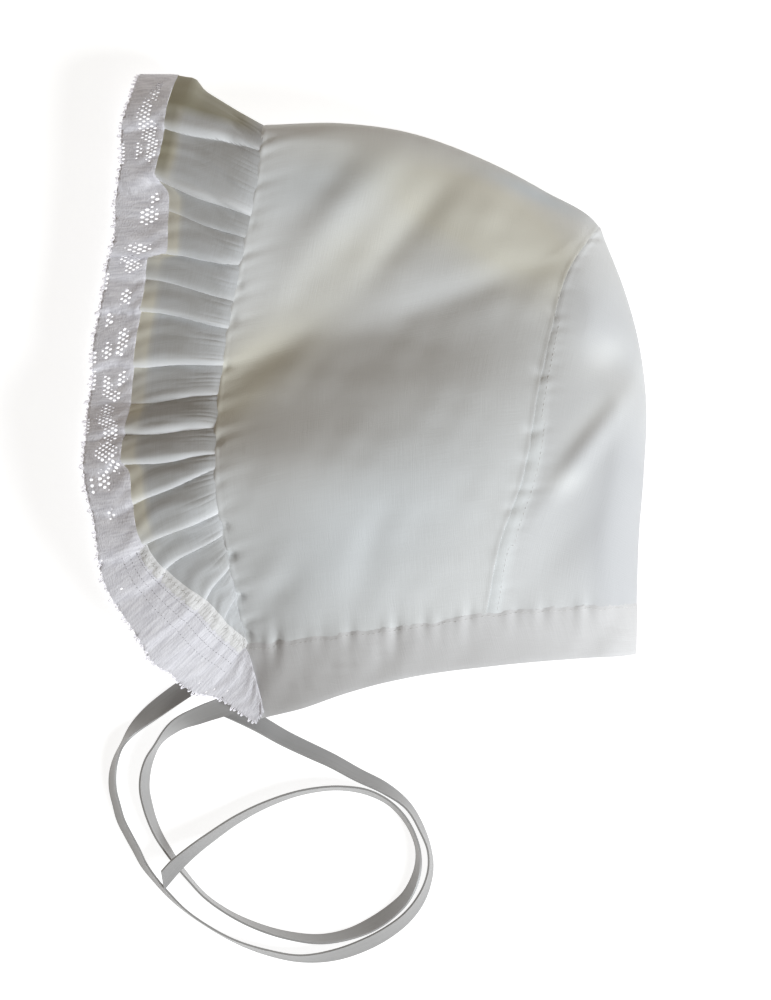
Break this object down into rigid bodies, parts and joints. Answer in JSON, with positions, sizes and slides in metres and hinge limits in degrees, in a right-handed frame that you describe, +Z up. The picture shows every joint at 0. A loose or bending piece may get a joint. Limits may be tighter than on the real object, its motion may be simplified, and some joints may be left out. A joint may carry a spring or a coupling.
{
  "type": "baby bonnet",
  "caption": "Cotton baby bonnet lying on its side, with a pointed back panel, a stitched neck band, a gathered frill edged with lace, and ribbon ties laid out in loops.",
  "frame": {"origin": "centre of the bonnet's box without the ties, on the surface that it lies on", "axes": "+X from the face opening to the back of the head, +Y from the neck to the top of the head, +Z up from the surface that the bonnet lies on"},
  "size_m": [0.1691, 0.2706, 0.0526],
  "materials": {
    "batiste": "matte plain weave",
    "band_cloth": "matte plain weave, doubled",
    "frill_cloth": "sheer plain weave",
    "lace": "knitted lace",
    "ribbon": "satin"
  },
  "bodies": {
    "root": {"crown": "batiste", "back_panel": "batiste", "neck_band": "band_cloth", "frill": "frill_cloth", "lace_edging": "lace", "tie_near": "ribbon", "tie_far": "ribbon"}
  },
  "joints": []
}
